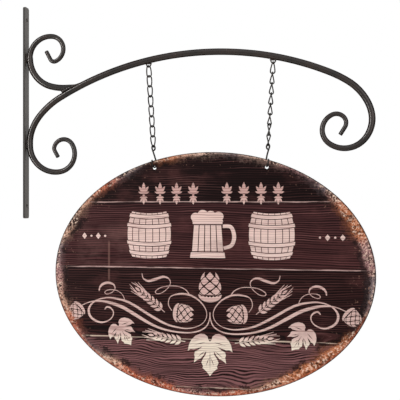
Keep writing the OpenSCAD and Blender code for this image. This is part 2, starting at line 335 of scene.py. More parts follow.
def makeBars():
    armStart = (bars["touchX"], bars["armTouchZ"] + bars["touchLength"] / 2, 90, 0)
    lowerStart = (bars["touchX"], bars["armTouchZ"] - bars["touchLength"] / 2, -90, 0)
    arm = follow(armStart, bars["armBends"], -1, bars["ends"]["arm"])
    lower = follow(lowerStart, bars["lowerBends"], 1, bars["ends"]["lower"])
    points, faces = skinRings(drawnRings(turned(lower), "first") + drawnRings(arm, "last"))
    newPiece("armRod", points, faces, barLacquer, "bracket", replaces=["arm_rod"])

    # where the brace sits on the arm
    p = armStart
    for r, a in bars["armBends"][:3]:
        p = bendTo(p, r, -a)
    p = bendTo(p, bars["armBends"][3][0], -bars["scarfTurn"])
    alongArm = alongBar(p)
    up = Vector((-alongArm.z, 0, alongArm.x))
    seat = Vector((p[0], 0, p[1])) + up * (bars["diameter"] / 2 + bars["scarfGap"])

    # the brace's end is cut to a scarf that lies on the arm
    scroll = follow((bars["touchX"], bars["upperTouchZ"], 90, 0), bars["upperBends"], -1, bars["ends"]["upper"])
    brace = turned(follow((bars["touchX"], bars["upperTouchZ"], -90, 0), bars["braceBends"], 1, 0))
    along = alongBar(brace[0])
    square = barRing(brace[0], bars["diameter"], bars["sides"])
    scarf = [v + along * ((seat - v).dot(up) / along.dot(up)) for v in square]
    rings = [scarf] + [barRing(q, bars["diameter"], bars["sides"], bars["hammerMark"]) for q in brace]
    points, faces = skinRings(rings + drawnRings(scroll[1:], "last"))
    newPiece("upperScroll", points, faces, barLacquer, "bracket", replaces=["upper_scroll"])
    return seat, up, alongArm


seat, seatUp, seatAlong = makeBars()
print("bars swept")


weldBeads = {
    "sides": 16,
    "steps": 36,
    "puddle": 2.0,
    "rough": 0.22,
    "stripX": 3.6,
    "stripY": 3.0,
    "stripWidth": 3.7,
    "upperLength": 11,
    "lowerLength": 13,
    # the seam under the brace: its start and length along the arm, and its height and lift at either end
    "seamStart": -10.5,
    "seamLength": 26.0,
    "seamHalf": 4.25,
    "seamHeight": (2.7, 1.0),
    "seamLift": (0.8, -1.3),
    "seamSteps": 30,
    "seamSides": 24,
    "seamRough": 0.07,
}


# a weld bead: frozen puddles, one over the next, with a rough skin
def beadRings(start, end, d, seed):
    along = (end - start).normalized()
    length = (end - start).length
    shift = Vector((seed, 0, 0))
    rings = []
    for k in range(weldBeads["steps"] + 1):
        t = k / weldBeads["steps"]
        swell = 0.86 + 0.14 * abs(math.sin(math.pi * t * length / weldBeads["puddle"]))
        swell *= min(1, 0.42 + 4 * min(t, 1 - t))
        centre = start + (end - start) * t
        ring = wireRing(centre, along, Vector((0, 1, 0.01)), d * swell, weldBeads["sides"])
        rings.append([q + (q - centre) * weldBeads["rough"] * noise.noise(q * 0.9 + shift) for q in ring])
    return rings


def makeWelds():
    for place, z in (("upper", bars["upperTouchZ"]), ("lower", bars["armTouchZ"])):
        half = weldBeads[place + "Length"] / 2
        points, faces = [], []
        for s in (-1, 1):
            low = Vector((weldBeads["stripX"], s * weldBeads["stripY"], z - half))
            high = Vector((weldBeads["stripX"], s * weldBeads["stripY"], z + half))
            joinShell(points, faces, *skinRings(beadRings(low, high, weldBeads["stripWidth"], z + s)))
        newPiece("strip" + place.capitalize() + "Weld", points, faces, weldLacquer, "bracket",
            replaces=["strip_" + place + "_weld"])

    # the seam between brace and arm is filled level with both bars and ground smooth
    steps, sides = weldBeads["seamSteps"], weldBeads["seamSides"]
    (firstHeight, lastHeight), (firstLift, lastLift) = weldBeads["seamHeight"], weldBeads["seamLift"]
    rings = []
    for k in range(steps + 1):
        t = k / steps
        half = weldBeads["seamHalf"] * min(1, 0.8 + 2 * t, 0.35 + 3.2 * (1 - t))
        high = (firstHeight + (lastHeight - firstHeight) * t) * min(1, 0.7 + 3 * t)
        lift = firstLift + (lastLift - firstLift) * t
        centre = seat + seatAlong * (weldBeads["seamStart"] + weldBeads["seamLength"] * t) + seatUp * lift
        ring = []
        for j in range(sides):
            a = 2 * math.pi * j / sides
            q = centre - Vector((0, half * math.cos(a), 0)) + seatUp * (high * math.sin(a))
            ring.append(q + (q - centre) * weldBeads["seamRough"] * noise.noise(q * 0.5))
        rings.append(ring)
    centre = sum(rings[0], Vector()) / sides
    nose = [q.lerp(centre, 0.4) - seatAlong * 0.5 for q in rings[0]]
    points, faces = skinRings([nose] + rings)
    newPiece("armWeld", points, faces, weldLacquer, "bracket", replaces=["arm_weld"])


makeWelds()
print("welds laid")


stripFinish = {"brokenEdge": 0.4, "steps": 2}


def finishStrip():
    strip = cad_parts["wall_strip"]
    strip.data.materials.clear()
    strip.data.materials.append(paintedLitStripLacquer)
    edge = strip.modifiers.new("brokenEdge", "BEVEL")
    edge.width = stripFinish["brokenEdge"] * mm
    edge.segments = stripFinish["steps"]
    edge.limit_method = "ANGLE"


finishStrip()
print("strip lacquered")


hanging = {
    "middleX": 241.0,
    "eyeletGap": 155.5,
    "eyeletZ": 55.0,
    "eyeletRise": 4.0,
    "eyeletRadius": 2.2,
    "eyeletSplay": 25,
    "eyeletWeld": (4.1, 1.25),
    "holeGap": 140.0,
    "wire": 1.6,
    "pitch": 12.5,
    "linkRadius": 2.8,
    "twist": 90.0,
    "play": 0.16,
    "hookWire": 2.0,
    "eyeRadius": 3.0,
    "eyeSweep": 285,
    "curlRadius": 4.8,
    "hookCentres": 19.4,
    "hookTip": 4.5,
    "trimLength": 0.25,
    "trimShare": 0.7,
    # each link's turn about the chain's line, and each hook's at its curl and at its eye, in degrees
    "leftTurns": [25, 5, 0, 0, 0, 0, 0, -15],
    "rightTurns": [45, 65, 65, 65, 65, 75, 105, 115],
    "hookTurns": {"left": (250, 245), "right": (290, 315)},
    "sides": 14,
}
linkLength = hanging["pitch"] + hanging["wire"] + hanging["play"]
# from the eyelet's seat down the chain's line to the middle of the hook's curl
bendDepth = (8 * hanging["pitch"] - (hanging["hookWire"] + hanging["play"]) / 2 + hanging["eyeRadius"]
    + hanging["hookCentres"] + hanging["curlRadius"])
lean = math.asin((hanging["eyeletGap"] - hanging["holeGap"]) / 2 / bendDepth)


def eyeletX(side):
    return hanging["middleX"] + hanging["eyeletGap"] / 2 * (1 if side == "right" else -1)


# from a chain's own line, which hangs down from its eyelet, to the object's frame
def onChain(side, v):
    a = lean * (1 if side == "right" else -1)
    return Vector((eyeletX(side) + v[0] * math.cos(a) + v[2] * math.sin(a), v[1],
        hanging["eyeletZ"] - v[0] * math.sin(a) + v[2] * math.cos(a)))


def makeEyelet(side):
    splay, radius = math.radians(hanging["eyeletSplay"]), hanging["eyeletRadius"]
    drop = (hanging["wire"] + hanging["play"]) / 2
    x, z = eyeletX(side), hanging["eyeletZ"] - drop + radius
    leg = (hanging["eyeletRise"] + drop - radius * (1 - math.sin(splay))) / math.cos(splay)
    rightLeg = [(radius * math.cos(splay) + leg * math.sin(splay) * k / 9,
        -radius * math.sin(splay) + leg * math.cos(splay) * k / 9) for k in range(1, 10)]
    turns = [-math.pi + splay + (math.pi - 2 * splay) * k / 16 for k in range(17)]
    bow = [(radius * math.cos(a), radius * math.sin(a)) for a in turns]
    line = [Vector((x + q[0], 0, z + q[1])) for q in [(-q[0], q[1]) for q in reversed(rightLeg)] + bow + rightLeg]
    points, faces = skinRings([wireRing(q, directionAt(line, i), Vector((0, 1, 0)), hanging["wire"], hanging["sides"])
        for i, q in enumerate(line)])
    # the weld that fills the V's mouth under the arm
    weldHalf, weldRadius = hanging["eyeletWeld"]
    top = line[0].z - 0.5
    turns = [2 * math.pi * j / 12 for j in range(12)]
    blob = []
    for k in range(13):
        t = -1 + k / 6
        r = weldRadius * math.sqrt(max(0.02, 1 - t * t))
        blob.append([Vector((x + weldHalf * t, -r * math.cos(a), top + 0.9 * r * math.sin(a))) for a in turns])
    joinShell(points, faces, *skinRings(blob))
    newPiece(side + "Eyelet", points, faces, barLacquer, "bracket", replaces=[side + "_eyelet"])


# an oval loop twisted about its long axis, with the bent wire's butt joint on one leg
def makeLink(side, number):
    turn = hanging[side + "Turns"][number - 1]
    r = hanging["linkRadius"]
    half = linkLength / 2 - r
    arc, leg = 14, 12
    outline = [(r * math.cos(math.pi * k / arc), half + r * math.sin(math.pi * k / arc)) for k in range(arc + 1)]
    outline += [(-r, half * (1 - 2 * k / leg)) for k in range(1, leg)]
    outline += [(-r * math.cos(math.pi * k / arc), -half - r * math.sin(math.pi * k / arc)) for k in range(arc + 1)]
    joint = len(outline) + leg // 2 - 1
    outline += [(r, half * (2 * k / leg - 1)) for k in range(1, leg)]
    line, refs = [], []
    for q, h in outline:
        a = math.radians(turn + hanging["twist"] * h / linkLength)
        line.append(Vector((q * math.cos(a), q * math.sin(a), h)))
        refs.append(Vector((-math.sin(a), math.cos(a), 0)))
    rings = []
    for i in range(len(line)):
        along = (line[(i + 1) % len(line)] - line[i - 1]).normalized()
        d = hanging["wire"] * (0.82 if i == joint else 1.0)
        ring = wireRing(line[i], along, refs[i], d, hanging["sides"])
        rings.append([onChain(side, q + Vector((0, 0, -(number - 0.5) * hanging["pitch"]))) for q in ring])
    points, faces = skinRings(rings, closed=True)
    node = "%s_link_%d" % (side, number)
    newPiece("%sLink%d" % (side, number), points, faces, wireSteel, node, replaces=[node])


# an S-hook from its closed eye down a slanting stem and round its open curl
def makeHook(side):
    curlTurn, eyeTurn = hanging["hookTurns"][side]
    eyeR, curlR, gap = hanging["eyeRadius"], hanging["curlRadius"], hanging["hookCentres"]
    slant = math.asin((eyeR + curlR) / gap)
    sweep = math.radians(hanging["eyeSweep"])
    turns = [-slant + sweep * (1 - k / 40) for k in range(41)]
    flat = [(eyeR * math.cos(a), gap + eyeR * math.sin(a)) for a in turns]
    top, foot = flat[-1], (curlR * math.cos(math.pi - slant), curlR * math.sin(math.pi - slant))
    flat += [(top[0] + (foot[0] - top[0]) * k / 10, top[1] + (foot[1] - top[1]) * k / 10) for k in range(1, 10)]
    turns = [math.pi - slant + (math.pi + slant) * k / 32 for k in range(33)]
    flat += [(curlR * math.cos(a), curlR * math.sin(a)) for a in turns]
    flat += [(curlR, hanging["hookTip"] * k / 4) for k in range(1, 5)]
    line, refs = [], []
    for q, h in flat:
        a = math.radians(curlTurn + (eyeTurn - curlTurn) * min(1, max(0, h / gap)))
        line.append(Vector((q * math.cos(a), q * math.sin(a), h)))
        refs.append(Vector((-math.sin(a), math.cos(a), 0)))
    rings = []
    for i, q in enumerate(line):
        cuts = [(1.0, 0)]  # the wire's share of its size, and a shift along it
        if i == 0:
            cuts = [(hanging["trimShare"], 0), (1.0, hanging["trimLength"])]
        if i == len(line) - 1:
            cuts = [(1.0, -hanging["trimLength"]), (hanging["trimShare"], 0)]
        along = directionAt(line, i)
        for share, shift in cuts:
            ring = wireRing(q + along * shift, along, refs[i], hanging["hookWire"] * share, hanging["sides"])
            rings.append([onChain(side, v + Vector((0, 0, curlR - bendDepth))) for v in ring])
    points, faces = skinRings(rings)
    newPiece(side + "Hook", points, faces, wireSteel, side + "_hook", replaces=[side + "_hook"])


for side in ("left", "right"):
    makeEyelet(side)
    for number in range(1, 9):
        makeLink(side, number)
    makeHook(side)
print("chains hung")


panel = {
    "width": 400.0,
    "height": 300.0,
    "sheet": 0.8,
    "hem": 0.8,
    "hemWidth": 6.0,
    "holeMargin": 9.5,
    "holeDiameter": 4.4,
    "hookLift": 0.5,
    "sides": 240,
    "holeSides": 28,
    # the printed boards: gaps' heights, the grain's spacing, then tones by height, from the bottom up
    "seams": [88.9, 7.1, -80.1, -139.5],
    "grainPitch": 2.9,
    "ridgeTones": [(0.0, "#7b5456"), (0.228, "#785153"), (0.234, "#321a1a"), (0.52, "#331b1b"), (0.528, "#4a2a2b"),
        (0.79, "#432628"), (0.8, "#1e0e0f"), (1.0, "#1e0e0f")],
    "grooveTones": [(0.0, "#1b0f0f"), (0.228, "#1a0e0e"), (0.234, "#0c0505"), (0.52, "#0d0606"), (0.528, "#1e0f10"),
        (0.79, "#1c0e0f"), (0.8, "#0b0505"), (1.0, "#0b0505")],
    "inkTones": [(0.0, "#e6ddcd"), (0.22, "#e0d5c6"), (0.245, "#cdb2ac"), (0.5, "#c8aaa5"), (0.56, "#dcc4be"),
        (0.78, "#d9bfb8"), (0.82, "#bf9d97"), (1.0, "#bf9d97")],
    # the bare rim's tones, and how far in it is worn in mm, by turns round from the right
    "rimTones": {"rust": "#b5704d", "red": "#b9664c", "pale": "#e3c1b0", "tan": "#bd947f", "mauve": "#9c7575",
        "grey": "#7b6d70", "dark": "#2c1e1f"},
    "rimWear": [(0.0, "mauve"), (0.04, "mauve"), (0.058, "rust"), (0.095, "rust"), (0.125, "grey"), (0.17, "mauve"),
        (0.205, "pale"), (0.228, "grey"), (0.262, "pale"), (0.292, "rust"), (0.315, "dark"), (0.345, "grey"),
        (0.368, "red"), (0.405, "tan"), (0.425, "dark"), (0.447, "tan"), (0.465, "grey"), (0.5, "mauve"),
        (0.545, "tan"), (0.57, "red"), (0.61, "grey"), (0.64, "tan"), (0.66, "red"), (0.71, "red"), (0.735, "mauve"),
        (0.78, "red"), (0.8, "tan"), (0.84, "rust"), (0.905, "rust"), (0.93, "dark"), (0.965, "grey")],
    "rimWidth": [(0.0, 8), (0.03, 12), (0.05, 14), (0.075, 14), (0.105, 10), (0.14, 4), (0.2, 4), (0.235, 3),
        (0.26, 4.5), (0.3, 5.5), (0.32, 3), (0.365, 9), (0.4, 6), (0.43, 8), (0.455, 7), (0.5, 7), (0.54, 7),
        (0.57, 8), (0.6, 5), (0.635, 11), (0.67, 9), (0.7, 10), (0.73, 7), (0.8, 7), (0.845, 14), (0.885, 19),
        (0.912, 10), (0.94, 4), (0.98, 6)],
    "widestRim": 25,
    "meanRadius": 165,
}
bendZ = hanging["eyeletZ"] - bendDepth * math.cos(lean)
holeZ = bendZ + hanging["hookWire"] / 2 + panel["hookLift"] - panel["holeDiameter"] / 2
panelX = hanging["middleX"]
topAtHole = panel["height"] / 2 * math.sqrt(1 - (hanging["holeGap"] / panel["width"]) ** 2)
panelZ = holeZ - (topAtHole - panel["holeMargin"])


# the picture of old boards that is printed on the sheet, in mm from the panel's middle
def printedBoards():
    group = bpy.data.node_groups.new("printedBoards", "ShaderNodeTree")
    for name, kind in (("Colour", "Color"), ("Ink", "Color"), ("Grain", "Float"), ("Worn", "Float")):
        group.interface.new_socket(name, in_out="OUTPUT", socket_type="NodeSocket" + kind)
    coords = addNode(group, "ShaderNodeTexCoord")
    place = addNode(group, "ShaderNodeVectorMath", {0: coords.outputs["Object"], 1: (panelX * mm, 0, panelZ * mm)},
        operation="SUBTRACT")
    place = addNode(group, "ShaderNodeVectorMath", {0: place, "Scale": 1 / mm}, operation="SCALE")
    axes = addNode(group, "ShaderNodeSeparateXYZ", {0: place})
    x, z = axes.outputs[0], axes.outputs[2]

    # each board has grain of its own
    ownGrain = 0.0
    for seam in panel["seams"]:
        under = addNode(group, "ShaderNodeMath", {0: z, 1: seam}, operation="LESS_THAN")
        ownGrain = addNode(group, "ShaderNodeMath", {0: under, 1: 7.3, 2: ownGrain}, operation="MULTIPLY_ADD")
    board = addNode(group, "ShaderNodeCombineXYZ", {0: x, 1: ownGrain, 2: z})

    # soft noise in patches of sizeX by sizeZ mm
    def patches(sizeX, sizeZ, seed, detail=3.0, rough=0.5, spot=board):
        spot = addNode(group, "ShaderNodeVectorMath", {0: spot, 1: (1 / sizeX, 1, 1 / sizeZ), 2: (0, seed, 0)},
            operation="MULTIPLY_ADD")
        return addNode(group, "ShaderNodeTexNoise", {"Vector": spot, "Scale": 1.0, "Detail": detail,
            "Roughness": rough})

    # paints a tone over what lies below, as strongly as given, where each value has gone from its low to its high
    def lay(below, tone, strength, *edges):
        for value, low, high in edges:
            strength = addNode(group, "ShaderNodeMapRange", {0: value, 1: low, 2: high, 4: strength},
                interpolation_type="SMOOTHSTEP")
        return addNode(group, "ShaderNodeMix", {0: strength, 6: below, 7: tone}, data_type="RGBA").outputs[2]

    # straight grain on the upper boards, livelier and bowed on the lower two
    lively = addNode(group, "ShaderNodeMapRange", {0: z, 1: -66.0, 2: -84.0, 3: 0.3, 4: 1.0},
        interpolation_type="SMOOTHSTEP")
    bow = addNode(group, "ShaderNodeMath", {0: patches(125, 50, 1.5, 2.0), 1: 42.0}, operation="MULTIPLY")
    bow = addNode(group, "ShaderNodeMath", {0: patches(33.33, 14.29, 4.1, 2.0), 1: 6.0, 2: bow},
        operation="MULTIPLY_ADD")
    bowedZ = addNode(group, "ShaderNodeMath", {0: bow, 1: lively, 2: z}, operation="MULTIPLY_ADD")
    bowed = addNode(group, "ShaderNodeCombineXYZ", {0: x, 1: ownGrain, 2: bowedZ})
    fibre = patches(83.33, 0.9091, 9.2, 4.0, 0.62, bowed)
    rings = addNode(group, "ShaderNodeMath", {0: bowedZ, 1: 2 * math.pi / panel["grainPitch"]}, operation="MULTIPLY")
    rings = addNode(group, "ShaderNodeMath", {0: rings}, operation="SINE")
    strong = addNode(group, "ShaderNodeMapRange", {0: patches(83.33, 20, 12.7, 2.0), 1: 0.35, 2: 0.65, 3: 0.45, 4: 1.0},
        interpolation_type="SMOOTHSTEP")
    rings = addNode(group, "ShaderNodeMath", {0: rings, 1: strong}, operation="MULTIPLY")
    grain = addNode(group, "ShaderNodeMath", {0: rings, 1: 0.2, 2: fibre}, operation="MULTIPLY_ADD")

    height = addNode(group, "ShaderNodeMath", {0: z, 1: 1 / panel["height"], 2: 0.5}, operation="MULTIPLY_ADD")
    ridge = addNode(group, "ShaderNodeValToRGB", {0: height}, stops=panel["ridgeTones"])
    groove = addNode(group, "ShaderNodeValToRGB", {0: height}, stops=panel["grooveTones"])
    colour = lay(groove, ridge, 1.0, (grain, 0.35, 0.66))
    colour = lay(colour, "#7a5352", 0.5, (grain, 0.64, 0.86))

    # paler patches where the print is rubbed, one bleached corner and an upright streak
    rubbed = patches(50, 28.57, 21.3, 4.0, 0.6)
    colour = lay(colour, "#6a4140", 0.3, (rubbed, 0.52, 0.8))
    uneven = addNode(group, "ShaderNodeMath", {0: rubbed, 1: 1.2, 2: -0.44}, operation="MULTIPLY_ADD")
    colour = lay(colour, "#85625f", uneven, (x, -176.0, -158.0), (x, -84.0, -108.0), (z, 4.0, 9.0), (z, 70.0, 44.0))
    colour = lay(colour, "#8d6a62", 0.35, (x, -130.8, -129.5), (x, -127.2, -128.5), (z, -14.0, -6.0), (z, 42.0, 36.0))

    # gaps between the boards: a pale lit arris over a dark line
    for i, seam in enumerate(panel["seams"]):
        off = addNode(group, "ShaderNodeMath", {0: patches(50, math.inf, 30.0 + i, 2.0), 1: 2.6, 2: z},
            operation="MULTIPLY_ADD")
        off = addNode(group, "ShaderNodeMath", {0: off, 1: seam + 1.3}, operation="SUBTRACT")
        colour = lay(colour, "#150a0b", 0.8, (off, -3.1, -2.0), (off, -0.1, -1.2))
        broken = addNode(group, "ShaderNodeMapRange", {0: patches(28.57, math.inf, 41.0 + i), 1: 0.36, 2: 0.56, 3: 0.15,
            4: 0.9}, interpolation_type="SMOOTHSTEP")
        colour = lay(colour, "#b99c98" if i < 2 else "#cdb9a9", broken, (off, -0.85, -0.25), (off, 0.85, 0.25))

    # how far in from the edge, and how far round
    oval = addNode(group, "ShaderNodeVectorMath", {0: place, 1: (2 / panel["width"], 0, 2 / panel["height"])},
        operation="MULTIPLY")
    radius = addNode(group, "ShaderNodeVectorMath", {0: oval}, operation="LENGTH").outputs["Value"]
    inset = addNode(group, "ShaderNodeMath", {0: radius, 1: -panel["meanRadius"], 2: panel["meanRadius"]},
        operation="MULTIPLY_ADD")
    mottle = patches(10, 8.333, 50.4, 6.0, 0.68)
    axes = addNode(group, "ShaderNodeSeparateXYZ", {0: oval})
    turn = addNode(group, "ShaderNodeMath", {0: axes.outputs[2], 1: axes.outputs[0]}, operation="ARCTAN2")
    turn = addNode(group, "ShaderNodeMath", {0: turn, 1: 0.5 / math.pi, 2: 0.985}, operation="MULTIPLY_ADD")
    turn = addNode(group, "ShaderNodeMath", {0: mottle, 1: 0.03, 2: turn}, operation="MULTIPLY_ADD")
    turn = addNode(group, "ShaderNodeMath", {0: turn}, operation="FRACT")

    # print and lacquer are worn off from the edge in to a ragged line, whose crumbs are coarser than real to show
    crumb = patches(2.381, 2.381, 66.6, 4.0, 0.7)
    width = addNode(group, "ShaderNodeValToRGB", {0: turn},
        stops=[(at, value / panel["widestRim"]) for at, value in panel["rimWidth"]])
    reach = addNode(group, "ShaderNodeMath", {0: patches(33.33, 28.57, 60.2, 3.0, 0.55), 1: 1.5 * panel["widestRim"],
        2: 0.15 * panel["widestRim"]}, operation="MULTIPLY_ADD")
    reach = addNode(group, "ShaderNodeMath", {0: reach, 1: width}, operation="MULTIPLY")
    wear = addNode(group, "ShaderNodeMath", {0: crumb, 1: 18.0, 2: -16.0}, operation="MULTIPLY_ADD")
    wear = addNode(group, "ShaderNodeMath", {0: mottle, 1: 14.0, 2: wear}, operation="MULTIPLY_ADD")
    wear = addNode(group, "ShaderNodeMath", {0: wear, 1: inset}, operation="ADD")
    wear = addNode(group, "ShaderNodeMath", {0: wear, 1: reach}, operation="SUBTRACT")
    worn = addNode(group, "ShaderNodeMapRange", {0: wear, 1: 1.2, 2: -1.2}, interpolation_type="SMOOTHSTEP")

    # a stain and black blots along the line, most of them on the right
    tone = addNode(group, "ShaderNodeValToRGB", {0: turn},
        stops=[(at, panel["rimTones"][kind]) for at, kind in panel["rimWear"]])
    colour = lay(colour, lay(tone, "#1c0f0f", 0.5), 0.35, (wear, 8.0, 0.0))
    blots = addNode(group, "ShaderNodeMapRange", {0: patches(20, 16.67, 71.9, 4.0, 0.6), 1: 0.5, 2: 0.58, 4: 0.8},
        interpolation_type="SMOOTHSTEP")
    onRight = addNode(group, "ShaderNodeMapRange", {0: x, 1: 170.0, 2: 184.0, 4: 0.64}, interpolation_type="SMOOTHSTEP")
    blots = addNode(group, "ShaderNodeMath", {0: blots, 1: onRight}, operation="MAXIMUM")
    colour = lay(colour, "#120b0c", blots, (wear, -1.0, 2.0), (wear, 8.0, 5.0))

    # the bare rim: its tone, with darker clouds, pale scuffs and black grit
    rim = lay(tone, "#2a1a1a", 0.8, (mottle, 0.53, 0.4))
    rim = lay(rim, "#e8cdbb", 0.85, (crumb, 0.525, 0.6))
    rim = lay(rim, "#170d0d", 0.85, (crumb, 0.47, 0.39))
    colour = lay(colour, rim, worn)
    specks = patches(3.846, 3.571, 95.0, 3.0, 0.6)
    colour = lay(colour, "#a07a6a", 0.6, (specks, 0.64, 0.7), (inset, 30.0, 5.0))
    colour = lay(colour, "#97472b", 0.55, (inset, 4.5, 1.5), (z, -20.0, -70.0))
    # painted shade: a near-black line along the outermost 1.5 mm, where the rolled edge turns away from the light
    colour = lay(colour, "#140d0c", 0.85, (inset, 1.5, 0.6))

    # the pale ink: the boards' grain shows through it, and it is gone where the rim is worn
    ink = addNode(group, "ShaderNodeValToRGB", {0: height}, stops=panel["inkTones"])
    ink = lay(ink, "#7a5552", 0.62, (grain, 0.56, 0.24))
    ink = lay(ink, colour, 0.35, (rubbed, 0.56, 0.8))
    ink = lay(ink, colour, 1.0, (worn, 0.35, 0.9))
    addNode(group, "NodeGroupOutput", {"Colour": colour, "Ink": ink, "Grain": grain, "Worn": worn})
    return group


boards = printedBoards()


# gloss-varnished litho print on tinplate: crisp and slightly shiny, dull where it is worn
def printedSheet(name, output):
    material, tree = newMaterial(name)
    board = addNode(tree, "ShaderNodeGroup", node_tree=boards)
    rough = addNode(tree, "ShaderNodeMapRange", {0: board.outputs["Worn"], 3: 0.5, 4: 0.8})
    relief = addNode(tree, "ShaderNodeBump", {"Height": board.outputs["Grain"], "Strength": 0.2, "Distance": 0.1 * mm})
    surface = addNode(tree, "ShaderNodeBsdfPrincipled", {"Base Color": board.outputs[output], "Roughness": rough,
        "IOR": 1.5, "Specular IOR Level": 0.06, "Normal": relief})
    addNode(tree, "ShaderNodeOutputMaterial", {"Surface": surface})
    return material


varnishedPrint = printedSheet("varnishedPrintOnTinplate", "Colour")
paleInk = printedSheet("paleInkOnTinplate", "Ink")


rolled = {
    "streakLength": 166.7,
    "streakWidth": 6.25,
    "cloudSize": 71.43,
}


# plain brown lacquer rolled on the back: faint streaks of the roller over clouds of thicker and thinner lacquer
def backLacquer():
    material, tree = newMaterial("rolledLacquerOnTinplate")
    coords = addNode(tree, "ShaderNodeTexCoord")
    length, width = rolled["streakLength"] * mm, rolled["streakWidth"] * mm
    stretch = addNode(tree, "ShaderNodeMapping", {"Vector": coords.outputs["Object"],
        "Scale": (1 / length, 1 / length, 1 / width)})
    streak = addNode(tree, "ShaderNodeTexNoise", {"Vector": stretch, "Scale": 1.0, "Detail": 4.0})
    cloud = addNode(tree, "ShaderNodeTexNoise", {"Vector": coords.outputs["Object"], "Detail": 5.0,
        "Roughness": 0.65, "Scale": 1 / (rolled["cloudSize"] * mm)})
    both = addNode(tree, "ShaderNodeMath", {0: streak, 1: cloud}, operation="ADD")
    tone = addNode(tree, "ShaderNodeValToRGB", {0: both}, stops=[(0.75, "#2b2220"), (1.0, "#3d302b")])
    rough = addNode(tree, "ShaderNodeMapRange", {0: both, 1: 0.8, 2: 1.2, 3: 0.35, 4: 0.55})
    relief = addNode(tree, "ShaderNodeBump", {"Height": cloud, "Strength": 0.15, "Distance": 0.2 * mm})
    surface = addNode(tree, "ShaderNodeBsdfPrincipled", {"Base Color": tone, "Roughness": rough, "IOR": 1.5,
        "Normal": relief})
    addNode(tree, "ShaderNodeOutputMaterial", {"Surface": surface})
    return material


sheetBack = backLacquer()


# triangles that fill an outline with holes in it, as points' numbers, all turning the same way round
def fillLoops(loops):
    flat = [[Vector((q[0], q[1], 0)) for q in loop] for loop in loops]
    corners = [q for loop in flat for q in loop]
    triangles = []
    for a, b, c in tessellate_polygon(flat):
        area = (corners[b] - corners[a]).cross(corners[c] - corners[a]).z
        if abs(area) > 1e-9:
            triangles.append((a, b, c) if area > 0 else (a, c, b))
    return triangles


def makePanel():
    sides, holeSides = panel["sides"], panel["holeSides"]
    half, back = panel["sheet"] / 2, panel["sheet"] / 2 + panel["hem"]
    # front face, rolled edge, folded hem, back face: (inset from the edge, y)
    section = [(2.2, -half), (0.9, -half), (0.42, -half + 0.09), (0.12, -half + 0.32), (0.0, 0.35), (0.1, back - 0.4),
        (0.36, back - 0.12), (0.8, back), (panel["hemWidth"] - 0.35, back), (panel["hemWidth"] - 0.08, back - 0.12),
        (panel["hemWidth"], back - 0.4), (panel["hemWidth"], half + 0.02), (panel["hemWidth"] + 0.6, half)]
    points, faces, kinds = [], [], []
    for inset, y in section:
        for k in range(sides):
            a = 2 * math.pi * k / sides
            points.append((panelX + (panel["width"] / 2 - inset) * math.cos(a), y,
                panelZ + (panel["height"] / 2 - inset) * math.sin(a)))
    for i in range(len(section) - 1):
        for k in range(sides):
            m = (k + 1) % sides
            faces.append((i * sides + k, (i + 1) * sides + k, (i + 1) * sides + m, i * sides + m))
            kinds.append(0 if i < 4 else 1)  # print in front and round the rolled edge, lacquer behind
    holes = []
    for y in (-half, half):
        for s in (-1, 1):
            holes.append(len(points))
            for k in range(holeSides):
                a, r = 2 * math.pi * k / holeSides, panel["holeDiameter"] / 2
                points.append((panelX + s * hanging["holeGap"] / 2 + r * math.cos(a), y, holeZ + r * math.sin(a)))
    for ring, pair, kind in ((0, holes[:2], 0), (len(section) - 1, holes[2:], 1)):
        starts = [(ring * sides, sides)] + [(hole, holeSides) for hole in pair]
        loops = [list(range(start, start + count)) for start, count in starts]
        order = [i for loop in loops for i in loop]
        for a, b, c in fillLoops([[(points[i][0], points[i][2]) for i in loop] for loop in loops]):
            faces.append((order[a], order[b], order[c]) if kind == 0 else (order[a], order[c], order[b]))
            kinds.append(kind)
    for front, rear in ((holes[0], holes[2]), (holes[1], holes[3])):
        for k in range(holeSides):
            m = (k + 1) % holeSides
            faces.append((front + k, front + m, rear + m, rear + k))
            kinds.append(1)
    piece = newPiece("signPanel", points, faces, varnishedPrint, "sign_panel", replaces=["sign_panel"])
    piece.data.materials.append(sheetBack)
    piece.data.polygons.foreach_set("material_index", kinds)
    piece.modifiers.new("flatFaces", "WEIGHTED_NORMAL").keep_sharp = True


makePanel()
print("panel pressed")


printPoints, printFaces = [], []
# shapes that overlap lie in layers a hundredth of a millimetre apart
inkLayer = {"lift": 0.04, "step": 0.01, "count": 9, "last": 0}


def inkY():
    inkLayer["last"] = (inkLayer["last"] + 1) % inkLayer["count"]
    return -panel["sheet"] / 2 - inkLayer["lift"] - inkLayer["step"] * inkLayer["last"]


def addFilled(loops):
    start, y = len(printPoints), inkY()
    printPoints.extend((panelX + q[0], y, panelZ + q[1]) for loop in loops for q in loop)
    printFaces.extend(tuple(start + i for i in triangle) for triangle in fillLoops(loops))


# a motif's own shape put on the panel: turned and sized, then moved, then mirrored for the other half
def placed(loop, at, turn=0.0, size=1.0, flip=1):
    c, s = math.cos(math.radians(turn)), math.sin(math.radians(turn))
    return [(flip * (at[0] + size * (x * c - z * s)), at[1] + size * (x * s + z * c)) for x, z in loop]


def oval(rx, rz, x=0.0, z=0.0, count=24):
    turns = [2 * math.pi * k / count for k in range(count)]
    return [(x + rx * math.cos(a), z + rz * math.sin(a)) for a in turns]


# a pointed oval from the origin up to (0, length)
def blade(length, width, belly=0.45, count=10):
    power = math.log(0.5) / math.log(belly)
    side = [(width / 2 * math.sin(math.pi * (k / count) ** power), length * k / count) for k in range(count + 1)]
    return side + [(-q[0], q[1]) for q in reversed(side[1:-1])]


# a point on the smooth curve between b and c, which comes from a and goes on to d
def curvePoint(a, b, c, d, t):
    return tuple(0.5 * (2 * q + (r - p) * t + (2 * p - 5 * q + 4 * r - s) * t * t + (3 * q - p - 3 * r + s) * t ** 3)
        for p, q, r, s in zip(a, b, c, d))


